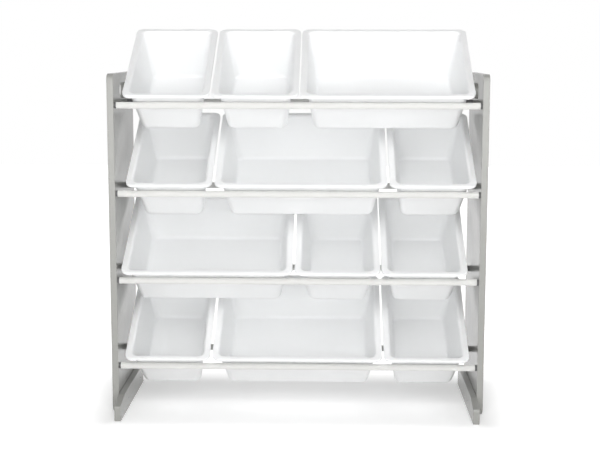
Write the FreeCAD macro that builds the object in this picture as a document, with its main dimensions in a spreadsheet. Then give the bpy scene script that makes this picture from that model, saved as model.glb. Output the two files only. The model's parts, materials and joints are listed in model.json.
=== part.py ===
import FreeCAD, Part
import math
import os
import re
import Sketcher

# Toy storage organizer: two side panels on foot boards, four tiers of rod pairs, and
# twelve loose bins that lean forward on the rods.
#
# Frame: X runs from left to right, Y from front to back and Z up. The origin lies on
# the floor, under the middle of the whole outline seen from above.
# Millimetres and degrees throughout.

# ---------------------------------------------------------------- driving sizes
SIZES = {
    # side panels
    "panel_thickness": 15.0,
    "panel_depth": 279.0,
    "panel_top_margin": 71.0,        # top rod axis to the panel's top edge
    "panel_top_radius": 15.0,
    "panel_bottom_radius": 20.0,     # lower front corner
    "board_edge_radius": 1.2,
    # hand-hold slot
    "grip_length": 95.0,
    "grip_opening": 36.0,
    "grip_corner_radius": 16.0,
    "grip_below_top": 23.0,
    # foot boards
    "foot_thickness": 15.0,
    "foot_height": 46.4,
    "foot_reach": 67.0,              # how far a foot stands in front of its panel
    "foot_nose_length": 58.5,        # sloped stretch of the top, at the front
    "foot_nose_drop": 11.8,
    "foot_nose_radius": 5.0,         # slope into the front end
    "foot_bend_radius": 30.0,        # top into the slope
    # tiers and rods
    "lowest_rod_height": 109.5,
    "tier_pitch": 200.8,
    "rod_setback": 16.0,             # panel's front edge to the front rod axis
    "rod_spread": 185.0,             # front rod axis to rear rod axis
    "tube_radius": 7.0,
    "tube_wall": 1.5,
    "sleeve_wall": 0.45,
    "sleeve_clearance": 0.05,
    "front_sleeve_gap": 4.0,         # bare tube at each end of a front rod
    "rear_sleeve_gap_left": 31.0,
    "rear_sleeve_gap_right": 18.0,
    # fastenings
    "fit_clearance": 0.1,
    "plug_length": 30.0,
    "bolt_radius": 3.0,
    "bolt_length": 30.0,
    "bolt_head_radius": 6.5,
    "bolt_head_height": 3.0,
    "hex_socket_radius": 2.3,
    "hex_socket_depth": 2.0,
    "screw_radius": 2.0,
    "screw_length": 23.0,
    "screw_head_radius": 4.2,
    "screw_head_height": 2.6,
    "screw_end_margin": 49.0,        # outermost screws to the panel's front and rear
    "screw_height": 23.0,
    "dowel_radius": 4.0,
    "dowel_length": 20.0,
    "dowel_end_margin": 95.0,
    # bins
    "small_bin_width": 196.0,
    "large_bin_width": 392.0,
    "bin_length": 298.0,
    "bin_depth": 119.0,
    "bin_wall": 2.4,
    "bin_tilt": 30.5,
    "bin_front_draft": 15.5,
    "bin_side_draft": 8.5,
    "bin_rear_draft": 8.5,
    "front_flange": 11.0,
    "side_flange": 13.0,
    "rear_flange": 11.0,
    "lip_drop": 7.0,
    "rim_corner_radius": 18.0,
    "bin_corner_radius": 16.0,
    "bin_floor_radius": 9.0,
    "rim_edge_radius": 1.1,
    "mouth_edge_radius": 6.0,        # where the rim turns down into the bin
    "bin_rod_clearance": 0.3,
    # room in each tier: before its first bin and between its bins
    "tier_slack": 43.0,              # inner width less the width of the three bins
    "tier_1_start": 19.5,
    "tier_1_gap_a": 4.6,
    "tier_1_gap_b": 2.9,
    "tier_2_start": 24.4,
    "tier_2_gap_a": 4.8,
    "tier_2_gap_b": 4.0,
    "tier_3_start": 10.5,
    "tier_3_gap_a": 4.5,
    "tier_3_gap_b": 2.0,
    "tier_4_start": 16.0,
    "tier_4_gap_a": 5.3,
    "tier_4_gap_b": 3.5,
}

# Tier 1 is the top one. Each tier holds two small bins and a large one.
TIERS = [
    ("top", ["small", "small", "large"]),
    ("upper", ["small", "large", "small"]),
    ("lower", ["large", "small", "small"]),
    ("bottom", ["small", "large", "small"]),
]
PLACES = ["left", "middle", "right"]
SCREWS_PER_FOOT = 2

NEAR = 0.1      # places closer than this count as the same
START = 100.0   # where a sketch's lines begin, before their dimensions move them

# ---------------------------------------------------------------- derived places
# Written with the names above, and bound to the sheet as expressions.
INNER_WIDTH = "(2 * small_bin_width + large_bin_width + tier_slack)"
INNER_HALF = f"({INNER_WIDTH} / 2)"
PANEL_FRONT = "((foot_reach - panel_depth) / 2)"
PANEL_HEIGHT = f"(lowest_rod_height + {len(TIERS) - 1} * tier_pitch + panel_top_margin)"
ROD_RADIUS = "(tube_radius + sleeve_clearance + sleeve_wall)"
REAR_ROD_SETBACK = "(rod_setback + rod_spread)"
GRIP_FRONT = "((panel_depth - grip_length) / 2)"
GRIP_TOP = f"({PANEL_HEIGHT} - grip_below_top)"

# A bin touches the top of the rear rod with its floor, and the back of the front
# rod with its front wall. Seen from the side, "along" runs up the slope of the rim
# and "above" stands square to it, both from the front rod's axis.
REACH = f"({ROD_RADIUS} + bin_rod_clearance)"
FLOOR_ABOVE = f"({REACH} - rod_spread * sin(bin_tilt))"
WALL_ALONG = f"({REACH} / cos(bin_front_draft) - {FLOOR_ABOVE} * tan(bin_front_draft))"
FRONT_SLOPE = "(bin_depth * tan(bin_front_draft))"
RIM_ALONG = f"({WALL_ALONG} - {FRONT_SLOPE} - front_flange)"
BIN_Y = (
    f"({PANEL_FRONT} + rod_setback + {RIM_ALONG} * cos(bin_tilt)"
    f" - {FLOOR_ABOVE} * sin(bin_tilt))"
)
BIN_RISE = f"({RIM_ALONG} * sin(bin_tilt) + {FLOOR_ABOVE} * cos(bin_tilt))"


def rod_height(tier):
    """Height of the rod axes of a tier, counted from 0 at the top."""
    return f"(lowest_rod_height + {len(TIERS) - 1 - tier} * tier_pitch)"


# ---------------------------------------------------------------- document helpers
doc = FreeCAD.newDocument("ToyOrganizer")
sheet = doc.addObject("Spreadsheet::Sheet", "Sizes")
for row, (alias, number) in enumerate(SIZES.items(), start=1):
    sheet.set(f"A{row}", alias)
    sheet.set(f"B{row}", str(number))
    sheet.setAlias(f"B{row}", alias)
doc.recompute()

nodes = []


def formula(text):
    """The expression, with each named size pointing at its cell."""
    return re.sub(
        r"[a-z][a-z_0-9]*",
        lambda word: f"Sizes.{word[0]}" if word[0] in SIZES else word[0],
        text,
    )


def bind(item, prop, text):
    item.setExpression(prop, formula(text))


def node(item, label):
    item.Label = label
    nodes.append(item)
    return item


def place(item, x, y, z, tilt="0"):
    """Puts an item at a point, turned about the X axis by the tilt."""
    bind(item, "Placement", f"placement(vector({x}; {y}; {z}); rotation(vector(1; 0; 0); {tilt}))")


def sketch_on(body, plane, offset="0"):
    """A sketch on one of the body's own planes, moved along that plane's normal."""
    sketch = body.newObject("Sketcher::SketchObject", "Outline")
    for feature in body.Origin.OriginFeatures:
        if feature.Role == plane:
            sketch.AttachmentSupport = [(feature, "")]
    sketch.MapMode = "FlatFace"
    bind(sketch, "AttachmentOffset.Base.z", offset)
    return sketch


def dimension(sketch, name, text):
    """Names the sketch's last constraint and binds it."""
    sketch.renameConstraint(sketch.ConstraintCount - 1, name)
    bind(sketch, f"Constraints.{name}", text)


def add_rectangle(sketch, low_x, high_x, low_y, high_y):
    """A sharp rectangle between four coordinates, all positive."""
    corners = [(1, 1), (2, 1), (2, 2), (1, 2)]
    points = [FreeCAD.Vector(START * x, START * y, 0) for x, y in corners]
    first = sketch.GeometryCount
    for start, end in zip(points, points[1:] + points[:1]):
        sketch.addGeometry(Part.LineSegment(start, end), False)
    for side in range(4):
        following = first + (side + 1) % 4
        sketch.addConstraint(Sketcher.Constraint("Coincident", first + side, 2, following, 1))
    for side in (0, 2):
        sketch.addConstraint(Sketcher.Constraint("Horizontal", first + side))
        sketch.addConstraint(Sketcher.Constraint("Vertical", first + side + 1))
    limits = [
        ("DistanceX", 0, low_x, START),
        ("DistanceY", 0, low_y, START),
        ("DistanceX", 2, high_x, 2 * START),
        ("DistanceY", 2, high_y, 2 * START),
    ]
    for kind, corner, text, start in limits:
        sketch.addConstraint(Sketcher.Constraint(kind, first + corner, 1, start))
        dimension(sketch, f"side_{first}_{kind[-1]}_{corner}", text)


def add_polygon(sketch, corners):
    """A closed outline through corners, each a pair of coordinates from 0 up."""
    count = len(corners)
    points = []
    for number in range(count):
        turn = 2 * math.pi * number / count
        points.append(FreeCAD.Vector(2 + math.cos(turn), 2 + math.sin(turn), 0) * START)
    for number, (x, y) in enumerate(corners):
        line = Part.LineSegment(points[number], points[(number + 1) % count])
        index = sketch.addGeometry(line, False)
        if number:
            sketch.addConstraint(Sketcher.Constraint("Coincident", index - 1, 2, index, 1))
        limits = [("DistanceX", points[number].x, x), ("DistanceY", points[number].y, y)]
        for kind, start, text in limits:
            sketch.addConstraint(Sketcher.Constraint(kind, index, 1, start))
            dimension(sketch, f"corner_{number}_{kind[-1]}", text)
    sketch.addConstraint(Sketcher.Constraint("Coincident", index, 2, index - count + 1, 1))


def add_circle(sketch, x, y, radius):
    centre = FreeCAD.Vector(START * (1 + sketch.GeometryCount), START, 0)
    circle = Part.Circle(centre, FreeCAD.Vector(0, 0, 1), START / 10)
    index = sketch.addGeometry(circle, False)
    sketch.addConstraint(Sketcher.Constraint("Radius", index, START / 10))
    dimension(sketch, f"radius_{index}", radius)
    sketch.addConstraint(Sketcher.Constraint("DistanceX", index, 3, centre.x))
    dimension(sketch, f"centre_x_{index}", x)
    sketch.addConstraint(Sketcher.Constraint("DistanceY", index, 3, centre.y))
    dimension(sketch, f"centre_y_{index}", y)


def pad(body, sketch, length, backwards=False):
    feature = body.newObject("PartDesign::Pad", "Pad")
    feature.Profile = sketch
    bind(feature, "Length", length)
    feature.Reversed = backwards
    return feature


def pocket(body, sketch, length, backwards=False):
    """Cuts against the sketch's normal, or along it when backwards."""
    doc.recompute()
    before = body.Tip.Shape.Volume
    feature = body.newObject("PartDesign::Pocket", "Pocket")
    feature.Profile = sketch
    bind(feature, "Length", length)
    feature.Reversed = backwards
    doc.recompute()
    if feature.Shape.Volume >= before:
        raise RuntimeError(f"the pocket in {body.Name} cuts nothing")
    return feature


def loft(body, kind, low, high):
    feature = body.newObject(f"PartDesign::{kind}", "Taper")
    feature.Profile = low
    feature.Sections = [high]
    feature.Ruled = True
    return feature


def same(first, second):
    return abs(first - second) < NEAR


def along_x(box):
    return box.XLength > NEAR


def fillet(body, radius, chosen):
    """Rounds the tip's edges whose box of two corners passes the test."""
    doc.recompute()
    tip = body.Tip
    names = []
    for number, edge in enumerate(tip.Shape.Edges, start=1):
        box = edge.BoundBox
        if chosen(box):
            names.append(f"Edge{number}")
    if not names:
        raise RuntimeError(f"no edge of {body.Name} to round")
    feature = body.newObject("PartDesign::Fillet", "Rounding")
    feature.Base = (tip, names)
    bind(feature, "Radius", radius)
    doc.recompute()
    return feature


# ---------------------------------------------------------------- side panels
def rod_centres():
    """Rod axes seen from the side, from the panel's lower front corner."""
    for tier in range(len(TIERS)):
        for setback in ("rod_setback", REAR_ROD_SETBACK):
            yield setback, rod_height(tier)


def screw_setbacks():
    span = "(panel_depth - 2 * screw_end_margin)"
    for turn in range(SCREWS_PER_FOOT):
        yield f"(screw_end_margin + {turn} * {span} / {SCREWS_PER_FOOT - 1})"


def dowel_setbacks():
    return ["dowel_end_margin", "(panel_depth - dowel_end_margin)"]


def side_panel(side, outward):
    """A panel whose inner face is its sketch plane. outward is -1 on the left."""
    left = outward < 0
    body = doc.addObject("PartDesign::Body", f"{side}_side_panel")
    board = sketch_on(body, "YZ_Plane")
    add_rectangle(board, "0", "panel_depth", "0", PANEL_HEIGHT)
    pad(body, board, "panel_thickness", left)
    doc.recompute()
    whole = body.Tip.Shape.BoundBox
    fillet(
        body,
        "panel_top_radius",
        lambda box: along_x(box) and same(box.ZMin, whole.ZMax),
    )
    fillet(
        body,
        "panel_bottom_radius",
        lambda box: along_x(box) and same(box.YMax, whole.YMin) and same(box.ZMax, whole.ZMin),
    )
    slot = sketch_on(body, "YZ_Plane")
    add_rectangle(
        slot,
        GRIP_FRONT,
        f"({GRIP_FRONT} + grip_length)",
        f"({GRIP_TOP} - grip_opening)",
        GRIP_TOP,
    )
    pocket(body, slot, "panel_thickness", not left)
    inside_radius = SIZES["panel_top_radius"] + NEAR

    def inside(box):
        across = box.YMin > whole.YMin + inside_radius and box.YMax < whole.YMax - inside_radius
        return across and box.ZMin > whole.ZMin + NEAR and box.ZMax < whole.ZMax - NEAR

    fillet(body, "grip_corner_radius", lambda box: along_x(box) and inside(box))
    fillet(body, "board_edge_radius", lambda box: not along_x(box))

    through = sketch_on(body, "YZ_Plane")
    for setback, height in rod_centres():
        add_circle(through, setback, height, "(bolt_radius + fit_clearance)")
    pocket(body, through, "panel_thickness", not left)
    recess = sketch_on(body, "YZ_Plane", f"{outward} * panel_thickness")
    for setback, height in rod_centres():
        add_circle(recess, setback, height, "(bolt_head_radius + fit_clearance)")
    pocket(body, recess, "bolt_head_height", left)
    pilots = sketch_on(body, "YZ_Plane")
    for setback in screw_setbacks():
        add_circle(pilots, setback, "screw_height", "(screw_radius + fit_clearance)")
    pocket(body, pilots, "(screw_length - foot_thickness + fit_clearance)", not left)
    seats = sketch_on(body, "YZ_Plane")
    for setback in dowel_setbacks():
        add_circle(seats, setback, "(foot_height / 2)", "(dowel_radius + fit_clearance)")
    pocket(body, seats, "(dowel_length / 2 + fit_clearance)", not left)
    place(body, f"{outward} * {INNER_HALF}", PANEL_FRONT, "0")
    node(body, f"{side}_side_panel")


def foot_board(side, outward):
    """A board on the panel's inner face, flush behind and reaching out in front, where
    its top slopes down to a nose."""
    left = outward < 0
    body = doc.addObject("PartDesign::Body", f"{side}_foot_board")
    board = sketch_on(body, "YZ_Plane")
    length = "(foot_reach + panel_depth)"
    corners = [
        ("0", "0"),
        (length, "0"),
        (length, "foot_height"),
        ("foot_nose_length", "foot_height"),
        ("0", "(foot_height - foot_nose_drop)"),
    ]
    add_polygon(board, corners)
    pad(body, board, "foot_thickness", not left)
    doc.recompute()
    whole = body.Tip.Shape.BoundBox
    fillet(
        body,
        "foot_nose_radius",
        lambda box: along_x(box) and same(box.YMax, 0) and not same(box.ZMin, 0),
    )

    def bend(box):
        between = box.YMin > whole.YMin + NEAR and box.YMax < whole.YMax - NEAR
        return along_x(box) and between and same(box.ZMin, whole.ZMax)

    fillet(body, "foot_bend_radius", bend)
    fillet(body, "board_edge_radius", lambda box: not along_x(box))
    through = sketch_on(body, "YZ_Plane")
    for setback in screw_setbacks():
        place_y = f"(foot_reach + {setback})"
        add_circle(through, place_y, "screw_height", "(screw_radius + fit_clearance)")
    pocket(body, through, "foot_thickness", left)
    recess = sketch_on(body, "YZ_Plane", f"{-outward} * foot_thickness")
    for setback in screw_setbacks():
        place_y = f"(foot_reach + {setback})"
        add_circle(recess, place_y, "screw_height", "(screw_head_radius + fit_clearance)")
    pocket(body, recess, "screw_head_height", not left)
    seats = sketch_on(body, "YZ_Plane")
    for setback in dowel_setbacks():
        place_y = f"(foot_reach + {setback})"
        add_circle(seats, place_y, "(foot_height / 2)", "(dowel_radius + fit_clearance)")
    pocket(body, seats, "(dowel_length / 2 + fit_clearance)", left)
    place(body, f"{outward} * {INNER_HALF}", f"({PANEL_FRONT} - foot_reach)", "0")
    node(body, f"{side}_foot_board")


# ---------------------------------------------------------------- rods
def hollow_rod(label, outer, inner, start, length, setback, tier):
    body = doc.addObject("PartDesign::Body", label)
    ring = sketch_on(body, "YZ_Plane")
    for radius in (outer, inner):
        add_circle(ring, REACH, REACH, radius)
    pad(body, ring, length)
    place(
        body,
        f"({start} - {INNER_HALF})",
        f"({PANEL_FRONT} + {setback} - {REACH})",
        f"({rod_height(tier)} - {REACH})",
    )
    node(body, label)


def rod_pair(tier):
    rows = [
        ("front", "rod_setback", "front_sleeve_gap", "front_sleeve_gap"),
        ("rear", REAR_ROD_SETBACK, "rear_sleeve_gap_left", "rear_sleeve_gap_right"),
    ]
    for row_name, setback, gap_left, gap_right in rows:
        hollow_rod(
            f"{row_name}_rod_tube_{tier + 1}",
            "tube_radius",
            "(tube_radius - tube_wall)",
            "0",
            INNER_WIDTH,
            setback,
            tier,
        )
        hollow_rod(
            f"{row_name}_rod_sleeve_{tier + 1}",
            ROD_RADIUS,
            "(tube_radius + sleeve_clearance)",
            gap_left,
            f"({INNER_WIDTH} - {gap_left} - {gap_right})",
            setback,
            tier,
        )


# ---------------------------------------------------------------- fastenings
def round_bar(radius, length, direction, x, y, z):
    """A cylinder that starts at a point and runs along +X or -X."""
    bar = doc.addObject("Part::Cylinder", "Bar")
    bind(bar, "Radius", radius)
    bind(bar, "Height", length)
    bar.Placement.Rotation = FreeCAD.Rotation(FreeCAD.Vector(0, 1, 0), 90 * direction)
    for axis, text in zip("xyz", (x, y, z)):
        bind(bar, f"Placement.Base.{axis}", text)
    return bar


def hex_key(direction, x, y, z):
    key = doc.addObject("Part::Prism", "Key")
    key.Polygon = 6
    bind(key, "Circumradius", "hex_socket_radius")
    bind(key, "Height", "hex_socket_depth")
    key.Placement.Rotation = FreeCAD.Rotation(FreeCAD.Vector(0, 1, 0), 90 * direction)
    for axis, text in zip("xyz", (x, y, z)):
        bind(key, f"Placement.Base.{axis}", text)
    return key


def joined(kind, base, tool):
    result = doc.addObject(f"Part::{kind}", kind)
    result.Base = base
    result.Tool = tool
    return result


def headed(head_radius, head_height, radius, length, direction, x, y, z):
    """A bolt or screw with a hexagon socket. Its length includes the head."""
    shank = round_bar(radius, length, direction, x, y, z)
    head = round_bar(head_radius, head_height, direction, x, y, z)
    return joined("Cut", joined("Fuse", shank, head), hex_key(direction, x, y, z))


def group(label, pieces):
    compound = doc.addObject("Part::Compound", label)
    compound.Links = pieces
    node(compound, label)


def fastenings(side, outward):
    inner_face = f"({outward} * {INNER_HALF})"
    outer_face = f"({outward} * ({INNER_HALF} + panel_thickness))"
    foot_face = f"({outward} * ({INNER_HALF} - foot_thickness))"
    bolts = []
    plugs = []
    for setback, height in rod_centres():
        y = f"({PANEL_FRONT} + {setback})"
        bolts.append(
            headed(
                "bolt_head_radius",
                "bolt_head_height",
                "bolt_radius",
                "bolt_length",
                -outward,
                outer_face,
                y,
                height,
            )
        )
        solid = round_bar(
            "(tube_radius - tube_wall - fit_clearance)",
            "plug_length",
            -outward,
            inner_face,
            y,
            height,
        )
        thread = round_bar(
            "(bolt_radius + fit_clearance)",
            "plug_length",
            -outward,
            inner_face,
            y,
            height,
        )
        plugs.append(joined("Cut", solid, thread))
    group(f"{side}_rod_bolts", bolts)
    group(f"{side}_rod_end_plugs", plugs)

    screws = []
    for setback in screw_setbacks():
        screws.append(
            headed(
                "screw_head_radius",
                "screw_head_height",
                "screw_radius",
                "screw_length",
                outward,
                foot_face,
                f"({PANEL_FRONT} + {setback})",
                "screw_height",
            )
        )
    group(f"{side}_foot_screws", screws)
    dowels = []
    for setback in dowel_setbacks():
        start = f"({outward} * ({INNER_HALF} - dowel_length / 2))"
        y = f"({PANEL_FRONT} + {setback})"
        dowels.append(
            round_bar("dowel_radius", "dowel_length", outward, start, y, "(foot_height / 2)")
        )
    group(f"{side}_foot_dowels", dowels)


# ---------------------------------------------------------------- bins
def shell_outline(body, width, level, inset):
    """The bin's wall outline at a level above its floor's underside."""
    side = f"(side_flange + (bin_depth - {level}) * tan(bin_side_draft) + {inset})"
    front = f"(front_flange + (bin_depth - {level}) * tan(bin_front_draft) + {inset})"
    rear = f"(rear_flange + (bin_depth - {level}) * tan(bin_rear_draft) + {inset})"
    outline = sketch_on(body, "XY_Plane", level)
    add_rectangle(outline, side, f"({width} - {side})", front, f"(bin_length - {rear})")
    return outline


def bin_body(label, width, tier, x):
    """A tapered tub with a flat rim and a lip turned down round it.

    In its own frame the rim's front left corner is over the origin, and the
    underside of the floor is the XY plane."""
    body = doc.addObject("PartDesign::Body", label)
    depth = SIZES["bin_depth"]
    wall = SIZES["bin_wall"]
    drop = SIZES["lip_drop"]

    def upright(box):
        return box.ZLength > NEAR and max(box.XLength, box.YLength) < NEAR

    def level_at(box, level):
        return same(box.ZMin, level) and same(box.ZMax, level)

    rim = sketch_on(body, "XY_Plane", "bin_depth")
    add_rectangle(rim, "0", width, "0", "bin_length")
    pad(body, rim, "lip_drop", True)
    hollow = sketch_on(body, "XY_Plane", "(bin_depth - lip_drop)")
    add_rectangle(
        hollow,
        "bin_wall",
        f"({width} - bin_wall)",
        "bin_wall",
        "(bin_length - bin_wall)",
    )
    pocket(body, hollow, "(lip_drop - bin_wall)", True)
    size = body.Tip.Shape.BoundBox

    def in_hollow(box):
        return upright(box) and size.XMin + NEAR < box.XMin and box.XMax < size.XMax - NEAR

    fillet(body, "(rim_corner_radius - bin_wall)", in_hollow)
    fillet(
        body,
        "rim_corner_radius",
        lambda box: upright(box) and not in_hollow(box) and same(box.ZMax, size.ZMax),
    )

    # The tapered walls and the room inside, then their corners and floor edges. The
    # inner edges are rounded first, by the wall less, to keep the wall even.
    loft(
        body,
        "AdditiveLoft",
        shell_outline(body, width, "0", "0"),
        shell_outline(body, width, "(bin_depth - bin_wall / 2)", "0"),
    )
    loft(
        body,
        "SubtractiveLoft",
        shell_outline(body, width, "bin_wall", "bin_wall"),
        shell_outline(body, width, "bin_depth", "bin_wall"),
    )
    for level, thinner in ((wall, " - bin_wall"), (0.0, "")):

        def corner(box):
            long = box.ZLength > depth / 2 and min(box.XLength, box.YLength) > NEAR
            return long and same(box.ZMin, level)

        fillet(body, f"(bin_corner_radius{thinner})", corner)
        fillet(body, f"(bin_floor_radius{thinner})", lambda box: level_at(box, level))

    # The bend where the rim turns down into the bin, first under the rim and then on
    # top, and the rim's own edges.
    def within(box, margin):
        across = box.XMin > size.XMin + margin and box.XMax < size.XMax - margin
        return across and box.YMin > size.YMin + margin and box.YMax < size.YMax - margin

    def under_rim(box):
        return level_at(box, depth - wall) and within(box, wall + NEAR)

    def at_mouth(box):
        return level_at(box, depth) and within(box, NEAR)

    fillet(body, "(mouth_edge_radius - bin_wall)", under_rim)
    fillet(body, "mouth_edge_radius", at_mouth)
    fillet(
        body,
        "rim_edge_radius",
        lambda box: level_at(box, depth) and not within(box, NEAR),
    )
    fillet(body, "(bin_wall / 3)", lambda box: level_at(box, depth - drop))
    place(body, f"({x} - {INNER_HALF})", BIN_Y, f"({rod_height(tier)} + {BIN_RISE})", "bin_tilt")
    node(body, label)


def tier_of_bins(tier):
    name, widths = TIERS[tier]
    number = tier + 1
    x = f"tier_{number}_start"
    gaps = [f"tier_{number}_gap_a", f"tier_{number}_gap_b"]
    for spot, (spot_name, kind) in enumerate(zip(PLACES, widths)):
        bin_body(f"{name}_{spot_name}_bin", f"{kind}_bin_width", tier, x)
        if spot < len(gaps):
            x = f"({x} + {kind}_bin_width + {gaps[spot]})"


# ---------------------------------------------------------------- the whole object
for side_name, outward_sign in (("left", -1), ("right", 1)):
    side_panel(side_name, outward_sign)
    foot_board(side_name, outward_sign)
    fastenings(side_name, outward_sign)
for tier_index in range(len(TIERS)):
    rod_pair(tier_index)
    tier_of_bins(tier_index)
doc.recompute()

for item in doc.Objects:
    if "Invalid" in item.State or "Error" in item.State:
        raise RuntimeError(f"{item.Label} failed: {item.State}")
for item in nodes:
    if item.Shape.isNull() or not item.Shape.isValid():
        raise RuntimeError(f"{item.Label} has no valid shape")

os.makedirs("parts", exist_ok=True)
for item in nodes:
    item.Shape.exportStep(f"parts/{item.Label}.step")
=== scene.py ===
import math

import bmesh
import bpy
from mathutils import Matrix, Vector
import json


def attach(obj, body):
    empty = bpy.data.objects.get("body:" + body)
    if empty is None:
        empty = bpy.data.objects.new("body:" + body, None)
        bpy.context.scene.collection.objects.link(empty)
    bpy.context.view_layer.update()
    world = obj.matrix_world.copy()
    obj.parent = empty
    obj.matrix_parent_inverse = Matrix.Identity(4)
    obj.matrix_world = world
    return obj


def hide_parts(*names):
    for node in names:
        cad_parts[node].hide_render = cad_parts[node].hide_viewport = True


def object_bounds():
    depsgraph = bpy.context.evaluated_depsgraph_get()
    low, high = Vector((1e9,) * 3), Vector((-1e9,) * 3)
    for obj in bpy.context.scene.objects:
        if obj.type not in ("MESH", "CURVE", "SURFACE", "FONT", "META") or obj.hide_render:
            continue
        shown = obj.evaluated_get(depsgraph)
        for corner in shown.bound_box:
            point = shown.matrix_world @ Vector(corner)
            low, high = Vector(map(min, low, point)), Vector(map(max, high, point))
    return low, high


# Toy storage organizer with bins: the looks of its boards, rods, fastenings and bins,
# with the floor, the lights and the camera. Metres throughout.

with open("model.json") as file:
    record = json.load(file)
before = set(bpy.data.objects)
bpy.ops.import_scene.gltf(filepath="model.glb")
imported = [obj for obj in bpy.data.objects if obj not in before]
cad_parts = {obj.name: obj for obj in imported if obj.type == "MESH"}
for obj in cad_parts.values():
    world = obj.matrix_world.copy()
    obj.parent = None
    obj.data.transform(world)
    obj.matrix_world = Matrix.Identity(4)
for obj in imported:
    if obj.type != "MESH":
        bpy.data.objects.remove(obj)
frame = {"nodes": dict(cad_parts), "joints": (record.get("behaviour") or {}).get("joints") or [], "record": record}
nodes = frame["nodes"]
cad_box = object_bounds()
scene = bpy.context.scene
MM = 0.001
QUARTER_TURN = math.pi / 2

BINS = sorted(name for name in nodes if name.endswith("_bin"))


# ---------------------------------------------------------------- node helpers
# A noise texture's values lie mostly between these two.
NOISE_LOW = 0.3
NOISE_HIGH = 0.7
# A mix node has a set of sockets for each kind of data; these are the ones for colours.
MIX_FACTOR = 0
MIX_DARK = 6
MIX_LIGHT = 7
MIX_RESULT = 2


class Tree:
    """A node tree, with short ways to add and join its nodes."""

    def __init__(self, node_tree):
        self.nodes = node_tree.nodes
        self.links = node_tree.links

    def add(self, kind, **settings):
        """A new node of a kind, with its settings."""
        item = self.nodes.new(kind)
        for key, value in settings.items():
            setattr(item, key, value)
        return item

    def join(self, source, target):
        self.links.new(source, target)

    def position(self, scale):
        """Object coordinates, stretched by a scale along each axis."""
        coords = self.add("ShaderNodeTexCoord")
        mapping = self.add("ShaderNodeMapping")
        mapping.inputs["Scale"].default_value = scale
        self.join(coords.outputs["Object"], mapping.inputs["Vector"])
        return mapping.outputs["Vector"]

    def noise(self, scale, detail, stretch=(1, 1, 1)):
        """Cloudy values over the object, stretched along each axis."""
        item = self.add("ShaderNodeTexNoise")
        item.inputs["Scale"].default_value = scale
        item.inputs["Detail"].default_value = detail
        self.join(self.position(stretch), item.inputs["Vector"])
        return item.outputs["Fac"]

    def grain(self, scale, detail, stretch=(1, 1, 1)):
        """Noise spread over the whole range from 0 to 1."""
        return self.spread(self.noise(scale, detail, stretch), 0.0, 1.0)

    def spread(self, value, low, high, start=NOISE_LOW, end=NOISE_HIGH):
        """Maps a value between start and end onto the range from low to high."""
        item = self.add("ShaderNodeMapRange")
        item.inputs["From Min"].default_value = start
        item.inputs["From Max"].default_value = end
        item.inputs["To Min"].default_value = low
        item.inputs["To Max"].default_value = high
        self.join(value, item.inputs["Value"])
        return item.outputs["Result"]

    def blend(self, value, low, high):
        """Blends two values by a third one, from 0 to 1."""
        item = self.add("ShaderNodeMapRange")
        self.join(value, item.inputs["Value"])
        self.join(low, item.inputs["To Min"])
        self.join(high, item.inputs["To Max"])
        return item.outputs["Result"]

    def constant(self, value):
        """A number as a node, for sockets that blend."""
        item = self.add("ShaderNodeValue")
        item.outputs[0].default_value = value
        return item.outputs[0]


class Look(Tree):
    """A material's node tree, with short ways to set what its shader takes."""

    def __init__(self, name):
        self.material = bpy.data.materials.new(name)
        self.material.use_nodes = True
        super().__init__(self.material.node_tree)
        self.shader = self.nodes["Principled BSDF"]
        self.output = self.nodes["Material Output"]

    def set(self, **values):
        """Sets the shader's own sockets; an underscore stands for a space."""
        for key, value in values.items():
            self.shader.inputs[key.replace("_", " ")].default_value = value

    def tint(self, value, dark, light):
        """Blends the base colour from dark to light by a value from 0 to 1."""
        item = self.add("ShaderNodeMix", data_type="RGBA")
        item.inputs[MIX_DARK].default_value = (*dark, 1)
        item.inputs[MIX_LIGHT].default_value = (*light, 1)
        self.join(value, item.inputs[MIX_FACTOR])
        self.join(item.outputs[MIX_RESULT], self.shader.inputs["Base Color"])

    def roughen(self, value, smooth, rough):
        """Varies the roughness from smooth to rough by a noise's value."""
        roughness = self.spread(value, smooth, rough)
        self.join(roughness, self.shader.inputs["Roughness"])

    def bump(self, *layers):
        """Stacks height layers, each a value and a height in millimetres."""
        normal = None
        for value, height in layers:
            item = self.add("ShaderNodeBump")
            item.inputs["Strength"].default_value = 1.0
            item.inputs["Distance"].default_value = height * MM
            self.join(value, item.inputs["Height"])
            if normal is not None:
                self.join(normal, item.inputs["Normal"])
            normal = item.outputs["Normal"]
        self.join(normal, self.shader.inputs["Normal"])


# ---------------------------------------------------------------- materials
def grey_paint():
    """Sprayed semi-gloss paint with a faint orange peel over fibreboard."""
    look = Look("grey_paint")
    cloud = look.grain(scale=6.0, detail=3.0)
    look.tint(cloud, dark=(0.310, 0.310, 0.293), light=(0.328, 0.328, 0.311))
    look.roughen(look.noise(scale=25.0, detail=4.0), smooth=0.20, rough=0.27)
    peel = look.noise(scale=420.0, detail=1.0)
    waves = look.noise(scale=60.0, detail=2.0)
    look.bump((peel, 0.02), (waves, 0.05))
    look.set(IOR=1.47)
    return look.material


def bin_plastic():
    """White moulded plastic that lets a little light into its thin walls."""
    look = Look("bin_plastic")
    cloud = look.grain(scale=9.0, detail=2.0)
    look.tint(cloud, dark=(0.950, 0.959, 0.964), light=(0.956, 0.965, 0.970))
    look.roughen(look.noise(scale=40.0, detail=3.0), smooth=0.28, rough=0.34)
    look.bump((look.noise(scale=1500.0, detail=1.0), 0.004))
    look.set(IOR=1.49, Subsurface_Weight=0.5, Subsurface_Scale=0.002)
    look.set(Subsurface_Radius=(1.0, 1.0, 1.0))
    return look.material


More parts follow.
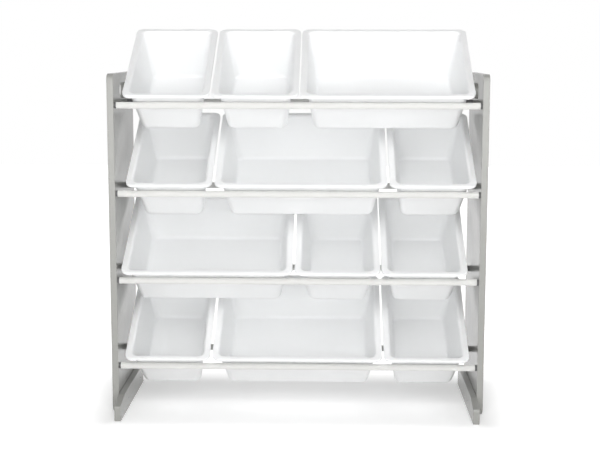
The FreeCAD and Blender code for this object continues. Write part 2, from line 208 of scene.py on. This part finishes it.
def white_sleeve():
    """Warm white extruded tube with faint streaks along it."""
    look = Look("white_sleeve")
    streak = look.grain(scale=1.0, detail=2.0, stretch=(3, 400, 400))
    look.tint(streak, dark=(0.700, 0.697, 0.682), light=(0.712, 0.709, 0.694))
    wear = look.noise(scale=30.0, detail=2.0, stretch=(1, 8, 8))
    look.roughen(wear, smooth=0.40, rough=0.50)
    look.bump((streak, 0.002))
    look.set(IOR=1.46, Diffuse_Roughness=1.0)
    return look.material


def dark_steel():
    """Dull dark coating on the rods' steel tubes."""
    look = Look("dark_steel")
    grain = look.grain(scale=500.0, detail=3.0)
    look.tint(grain, dark=(0.10, 0.10, 0.103), light=(0.13, 0.13, 0.133))
    look.roughen(look.noise(scale=200.0, detail=2.0), smooth=0.35, rough=0.5)
    look.bump((grain, 0.02))
    return look.material


def zinc_steel():
    """Bright plated steel of the bolts and screws."""
    look = Look("zinc_steel")
    grain = look.grain(scale=700.0, detail=3.0)
    look.tint(grain, dark=(0.56, 0.57, 0.58), light=(0.66, 0.66, 0.66))
    look.roughen(look.noise(scale=300.0, detail=2.0), smooth=0.25, rough=0.4)
    look.set(Metallic=1.0)
    return look.material


def black_plastic():
    """Moulded plastic of the hidden plugs."""
    look = Look("black_plastic")
    grain = look.grain(scale=600.0, detail=2.0)
    look.tint(grain, dark=(0.018, 0.018, 0.018), light=(0.03, 0.03, 0.03))
    look.roughen(look.noise(scale=300.0, detail=2.0), smooth=0.45, rough=0.6)
    look.bump((grain, 0.02))
    return look.material


def dowel_wood():
    """Pale wood of the hidden dowels, its grain along them."""
    look = Look("dowel_wood")
    grain = look.grain(scale=1.0, detail=4.0, stretch=(40, 600, 600))
    look.tint(grain, dark=(0.50, 0.33, 0.18), light=(0.62, 0.44, 0.27))
    look.roughen(grain, smooth=0.6, rough=0.75)
    look.bump((grain, 0.05))
    return look.material


MATERIALS = {
    "grey_paint": grey_paint(),
    "bin_plastic": bin_plastic(),
    "white_sleeve": white_sleeve(),
    "dark_steel": dark_steel(),
    "zinc_steel": zinc_steel(),
    "black_plastic": black_plastic(),
    "dowel_wood": dowel_wood(),
}


def dress(piece, material):
    """Gives a piece one material in place of those it has."""
    piece.data.materials.clear()
    piece.data.materials.append(MATERIALS[material])


def dress_nodes():
    """Each carried-over node takes the material of its slot in the record."""
    for part in frame["record"]["subparts"]:
        dress(nodes[part["node"]], part["material_slot"])


# ---------------------------------------------------------------- bins
# Sizes of a bin's section, the same as on its carried-over node.
WALL = 2.4 * MM
FRONT_DRAFT = math.radians(15.5)
SIDE_DRAFT = math.radians(8.5)
REAR_DRAFT = math.radians(8.5)
FRONT_FLANGE = 11.0 * MM
SIDE_FLANGE = 13.0 * MM
REAR_FLANGE = 11.0 * MM
LIP_DROP = 7.0 * MM
LIP_ROOT = 1.0 * MM         # the small bevel where the lip leaves the flange
RIM_CORNER = 18.0 * MM
BODY_CORNER = 16.0 * MM
LEAST_CORNER = 0.2 * MM
FLOOR_RADIUS = 9.0 * MM
RIM_EDGE = 1.15 * MM
MOUTH_RADIUS = 6.0 * MM
RIM_BOW = 0.7 * MM
# How finely the mesh follows the section.
CORNER_STEPS = 10
SIDE_STEPS = 10
ARC_STEPS = 4
NORMAL_WEIGHT = 80          # how much the large faces lead the shading's normals


def arc(turn, steps):
    """The sine and cosine of each angle from 0 to a turn."""
    for step in range(steps + 1):
        angle = turn * step / steps
        yield math.sin(angle), math.cos(angle)


def corner_arc(x, y, z, radius, start):
    """Points of a quarter circle round a centre, turning left from an angle."""
    points = []
    for step in range(CORNER_STEPS + 1):
        angle = start + QUARTER_TURN * step / CORNER_STEPS
        points.append(
            Vector((x + radius * math.cos(angle), y + radius * math.sin(angle), z))
        )
    return points


def floor_corner(inset):
    """The corners draw in half as fast as the sides where wall and floor meet."""
    return BODY_CORNER - inset / 2


class BinShape:
    """One bin's own frame and size, read from its node: x across, y up the slope of
    the rim, z square to the rim, with the origin under the rim's front left corner."""

    def __init__(self, name):
        lift = next(joint for joint in frame["joints"] if joint["child"] == name)
        square = Vector(lift["axis"]).normalized()
        slope = Vector((0, square.z, -square.y))
        axes = (Vector((1, 0, 0)), slope, square)
        points = [vertex.co for vertex in nodes[name].data.vertices]
        low = [min(point.dot(axis) for point in points) for axis in axes]
        high = [max(point.dot(axis) for point in points) for axis in axes]
        self.width, self.length, self.depth = (b - a for a, b in zip(low, high))
        origin = sum((axis * value for axis, value in zip(axes, low)), Vector())
        turn = Matrix(axes).transposed()
        self.place = Matrix.Translation(origin) @ turn.to_4x4()

    def wall_ring(self, level, inset, corner):
        """The wall's outline at a level, moved inwards by the inset."""
        below = self.depth - level
        return {
            "side": SIDE_FLANGE + below * math.tan(SIDE_DRAFT) + inset,
            "front": FRONT_FLANGE + below * math.tan(FRONT_DRAFT) + inset,
            "rear": REAR_FLANGE + below * math.tan(REAR_DRAFT) + inset,
            "corner": corner,
            "z": level,
        }

    def rim_ring(self, level, inset, corner):
        """The rim's outline at a level, moved inwards by the inset."""
        return {
            "side": inset,
            "front": inset,
            "rear": inset,
            "corner": corner,
            "z": level,
        }

    def outline(self, ring):
        """Points round a rounded rectangle from its front left corner, turning left."""
        low_x, high_x = ring["side"], self.width - ring["side"]
        low_y, high_y = ring["front"], self.length - ring["rear"]
        radius = max(ring["corner"], LEAST_CORNER)
        corners = [
            (low_x + radius, low_y + radius, 2 * QUARTER_TURN),
            (high_x - radius, low_y + radius, 3 * QUARTER_TURN),
            (high_x - radius, high_y - radius, 0.0),
            (low_x + radius, high_y - radius, QUARTER_TURN),
        ]
        arcs = [corner_arc(x, y, ring["z"], radius, start) for x, y, start in corners]
        points = []
        for bend, following in zip(arcs, arcs[1:] + arcs[:1]):
            points.extend(bend)
            for step in range(1, SIDE_STEPS):
                points.append(bend[-1].lerp(following[0], step / SIDE_STEPS))
        return points

    def outer_floor_edge(self):
        """From the floor's underside up onto the wall's outside."""
        for sine, cosine in arc(QUARTER_TURN, ARC_STEPS):
            rise = FLOOR_RADIUS * (1 - cosine)
            inset = FLOOR_RADIUS * (1 - sine)
            yield self.wall_ring(rise, inset, floor_corner(inset))

    def under_flange(self):
        """From the wall's outside, out under the flange to the lip's inside."""
        underside = self.depth - WALL
        radius = MOUTH_RADIUS - WALL
        for sine, cosine in arc(QUARTER_TURN, ARC_STEPS):
            inset = -radius * (1 - cosine)
            level = underside - radius * (1 - sine)
            yield self.wall_ring(level, inset, BODY_CORNER - inset)
        yield self.rim_ring(underside, WALL + LIP_ROOT, RIM_CORNER - WALL)
        yield self.rim_ring(underside - LIP_ROOT, WALL, RIM_CORNER - WALL)

    def lip(self):
        """Round the lip's lower edge, up its outside and onto the rim."""
        bottom = self.depth - LIP_DROP
        half = WALL / 2
        for sine, cosine in arc(2 * QUARTER_TURN, ARC_STEPS):
            inset = half + half * cosine
            level = bottom + half - half * sine
            yield self.rim_ring(level, inset, RIM_CORNER - inset)
        for sine, cosine in arc(QUARTER_TURN, ARC_STEPS):
            inset = RIM_EDGE * (1 - cosine)
            level = self.depth - RIM_EDGE * (1 - sine)
            yield self.rim_ring(level, inset, RIM_CORNER - inset)

    def mouth(self):
        """From the rim down onto the wall's inside."""
        for sine, cosine in arc(QUARTER_TURN, 2 * ARC_STEPS):
            inset = WALL - MOUTH_RADIUS * (1 - sine)
            level = self.depth - MOUTH_RADIUS * (1 - cosine)
            yield self.wall_ring(level, inset, BODY_CORNER - inset)

    def inner_floor_edge(self):
        """From the wall's inside down onto the floor."""
        radius = FLOOR_RADIUS - WALL
        for sine, cosine in arc(QUARTER_TURN, ARC_STEPS):
            rise = WALL + radius * (1 - sine)
            inset = WALL + radius * (1 - cosine)
            yield self.wall_ring(rise, inset, floor_corner(inset))

    def rings(self):
        """The whole section, from the floor's underside round the lip to the floor."""
        yield from self.outer_floor_edge()
        yield from self.under_flange()
        yield from self.lip()
        yield from self.mouth()
        yield from self.inner_floor_edge()

    def mesh(self, name):
        """The closed shell: one loop of points per ring, and the floor's two faces."""
        shape = bmesh.new()
        loops = []
        for ring in self.rings():
            loops.append([shape.verts.new(point) for point in self.outline(ring)])
        for lower, upper in zip(loops, loops[1:]):
            count = len(lower)
            for index in range(count):
                after = (index + 1) % count
                corners = (lower[index], lower[after], upper[after], upper[index])
                shape.faces.new(corners)
        shape.faces.new(list(reversed(loops[0])))
        shape.faces.new(loops[-1])
        bmesh.ops.recalc_face_normals(shape, faces=shape.faces)
        self.bow(shape)
        shape.transform(self.place)
        for face in shape.faces:
            face.smooth = True
        mesh = bpy.data.meshes.new(name)
        shape.to_mesh(mesh)
        shape.free()
        return mesh

    def bow(self, shape):
        """The long thin walls draw in a little between the corners, most at the rim."""
        for vertex in shape.verts:
            across = vertex.co.x / self.width * 2 - 1
            along = vertex.co.y / self.length * 2 - 1
            draw = RIM_BOW * (vertex.co.z / self.depth) ** 2
            vertex.co.x -= draw * across * max(0.0, 1 - along * along)
            vertex.co.y -= draw * along * max(0.0, 1 - across * across)


def add_bin(name):
    """The shaped shell takes the place of the bin's carried-over node."""
    shell = f"{name}_shell"
    piece = bpy.data.objects.new(shell, BinShape(name).mesh(shell))
    scene.collection.objects.link(piece)
    dress(piece, "bin_plastic")
    weighted = piece.modifiers.new("normals", "WEIGHTED_NORMAL")
    weighted.weight = NORMAL_WEIGHT
    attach(piece, name)
    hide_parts(name)


# ---------------------------------------------------------------- camera
# The photograph's viewpoint, solved from the object's own straight edges. Angles in
# radians: the yaw is to the right, the dip is down.
CAMERA_PLACE = Vector((0.0742, -2.8895, 0.8399))
CAMERA_YAW = -0.0245
CAMERA_DIP = 0.1415
CAMERA_ROLL = -0.0017
LENS_PIXELS = 1241.1        # focal length in the photograph's pixels
IMAGE_WIDTH = 600
SENSOR_WIDTH = 36.0


def add_camera():
    """The camera stands where the photograph's did."""
    camera = bpy.data.objects.new("camera", bpy.data.cameras.new("camera"))
    camera.data.sensor_width = SENSOR_WIDTH
    camera.data.lens = LENS_PIXELS / IMAGE_WIDTH * SENSOR_WIDTH
    yaw, dip = CAMERA_YAW, CAMERA_DIP
    ahead = Vector(
        (math.sin(yaw) * math.cos(dip), math.cos(yaw) * math.cos(dip), -math.sin(dip))
    )
    right = Vector((math.cos(yaw), -math.sin(yaw), 0))
    up = right.cross(ahead)
    turn = Matrix((right, up, -ahead)).transposed()
    roll = Matrix.Rotation(-CAMERA_ROLL, 3, "Z")
    camera.matrix_world = Matrix.Translation(CAMERA_PLACE) @ (turn @ roll).to_4x4()
    scene.collection.objects.link(camera)
    scene.camera = camera


# ---------------------------------------------------------------- studio
WHITE = 1.0
FLOOR_SIZE = 12.0
FLOOR_GREY = 0.92
FLOOR_LIFT = 0.31       # added under the object, where its shadow is seen
FLOOR_FADE = 0.16       # this far from the object the floor is as white as the backdrop
FLOOR_GLOW = 0.15       # light that the floor from there on sends up to the object
LEVEL_LIGHT = 0.38      # light from in front and the sides, at the horizon
BACK_LIGHT = 0.90       # light from the backdrop
BACK_EDGE = 0.5         # a direction's Y from which the backdrop's light is full
OVERHEAD_LIGHT = 0.20   # light from above
OVERHEAD_EDGE = 0.8     # a direction's Z from which only the light from above is left
LIGHT_TARGET = Vector((0.0, 0.0, 0.45))
# Each softbox: its place, width and height, and its power in watts.
SOFTBOXES = {
    "key": ((0.1, -3.3, 2.55), 2.4, 1.8, 62.0),
    "low_fill": ((0.0, -3.6, 0.6), 2.6, 1.0, 38.0),
    "right_fill": ((3.6, -3.4, 0.9), 2.6, 2.0, 31.0),
    "left_fill": ((-2.8, -2.6, 0.9), 2.0, 1.6, 14.0),
}


def add_floor():
    """A pale floor with the object's shadow, seen white all round it."""
    mesh = bpy.data.meshes.new("floor")
    half = FLOOR_SIZE / 2
    corners = [(-half, -half, 0), (half, -half, 0), (half, half, 0), (-half, half, 0)]
    mesh.from_pydata(corners, [], [(0, 1, 2, 3)])
    floor = bpy.data.objects.new("floor", mesh)
    scene.collection.objects.link(floor)
    look = Look("floor")
    look.nodes.remove(look.shader)
    diffuse = look.add("ShaderNodeBsdfDiffuse")
    diffuse.inputs["Color"].default_value = (FLOOR_GREY, FLOOR_GREY, FLOOR_GREY, 1)
    seen = seen_rays(look)
    strength = look.blend(
        distance_from_object(look),
        look.spread(seen, 0.0, FLOOR_LIFT, start=0.0, end=1.0),
        look.spread(seen, FLOOR_GLOW, WHITE, start=0.0, end=1.0),
    )
    glow = look.add("ShaderNodeEmission")
    look.join(strength, glow.inputs["Strength"])
    both = look.add("ShaderNodeAddShader")
    look.join(diffuse.outputs[0], both.inputs[0])
    look.join(glow.outputs[0], both.inputs[1])
    look.join(both.outputs[0], look.output.inputs["Surface"])
    floor.data.materials.append(look.material)


def distance_from_object(tree):
    """0 under the object's own box, and 1 from the fade's end on."""
    flat = tree.position((1, 1, 0))
    across = tree.add("ShaderNodeVectorMath", operation="ABSOLUTE")
    tree.join(flat, across.inputs[0])
    beyond = tree.add("ShaderNodeVectorMath", operation="SUBTRACT")
    beyond.inputs[1].default_value = cad_box[1]
    tree.join(across.outputs[0], beyond.inputs[0])
    outside = tree.add("ShaderNodeVectorMath", operation="MAXIMUM")
    outside.inputs[1].default_value = (0, 0, 0)
    tree.join(beyond.outputs[0], outside.inputs[0])
    away = tree.add("ShaderNodeVectorMath", operation="LENGTH")
    tree.join(outside.outputs[0], away.inputs[0])
    return tree.spread(away.outputs["Value"], 0.0, 1.0, start=0.0, end=FLOOR_FADE)


def seen_rays(tree):
    """1 on rays from the camera and on reflections, where the backdrop shows."""
    path = tree.add("ShaderNodeLightPath")
    glossy = tree.add("ShaderNodeMath", operation="MAXIMUM")
    tree.join(path.outputs["Is Camera Ray"], glossy.inputs[0])
    tree.join(path.outputs["Is Glossy Ray"], glossy.inputs[1])
    clear = tree.add("ShaderNodeMath", operation="MAXIMUM")
    tree.join(glossy.outputs[0], clear.inputs[0])
    tree.join(path.outputs["Is Transmission Ray"], clear.inputs[1])
    return clear.outputs[0]


def add_world():
    """Light from all round, least from above; where it is seen, a white backdrop."""
    world = bpy.data.worlds.new("studio")
    world.use_nodes = True
    scene.world = world
    tree = Tree(world.node_tree)
    background = tree.nodes["Background"]
    background.inputs["Color"].default_value = (1, 1, 1, 1)
    direction = tree.add("ShaderNodeSeparateXYZ")
    tree.join(tree.add("ShaderNodeTexCoord").outputs["Generated"], direction.inputs[0])
    back, up = direction.outputs["Y"], direction.outputs["Z"]
    level = tree.spread(back, LEVEL_LIGHT, BACK_LIGHT, start=0.0, end=BACK_EDGE)
    height = tree.spread(up, 0.0, 1.0, start=0.0, end=OVERHEAD_EDGE)
    unseen = tree.blend(height, level, tree.constant(OVERHEAD_LIGHT))
    strength = tree.blend(seen_rays(tree), unseen, tree.constant(WHITE))
    tree.join(strength, background.inputs["Strength"])


def add_softbox(name, place, width, height, power):
    """A rectangular light that faces the object's middle."""
    light = bpy.data.lights.new(name, "AREA")
    light.shape = "RECTANGLE"
    light.size = width
    light.size_y = height
    light.energy = power
    softbox = bpy.data.objects.new(name, light)
    away = Vector(place) - LIGHT_TARGET
    turn = away.to_track_quat("Z", "Y").to_matrix().to_4x4()
    softbox.matrix_world = Matrix.Translation(place) @ turn
    scene.collection.objects.link(softbox)


# ---------------------------------------------------------------- build
scene.view_settings.view_transform = "Standard"
dress_nodes()
for bin_name in BINS:
    add_bin(bin_name)
add_camera()
add_floor()
add_world()
for light_name, layout in SOFTBOXES.items():
    add_softbox(light_name, *layout)
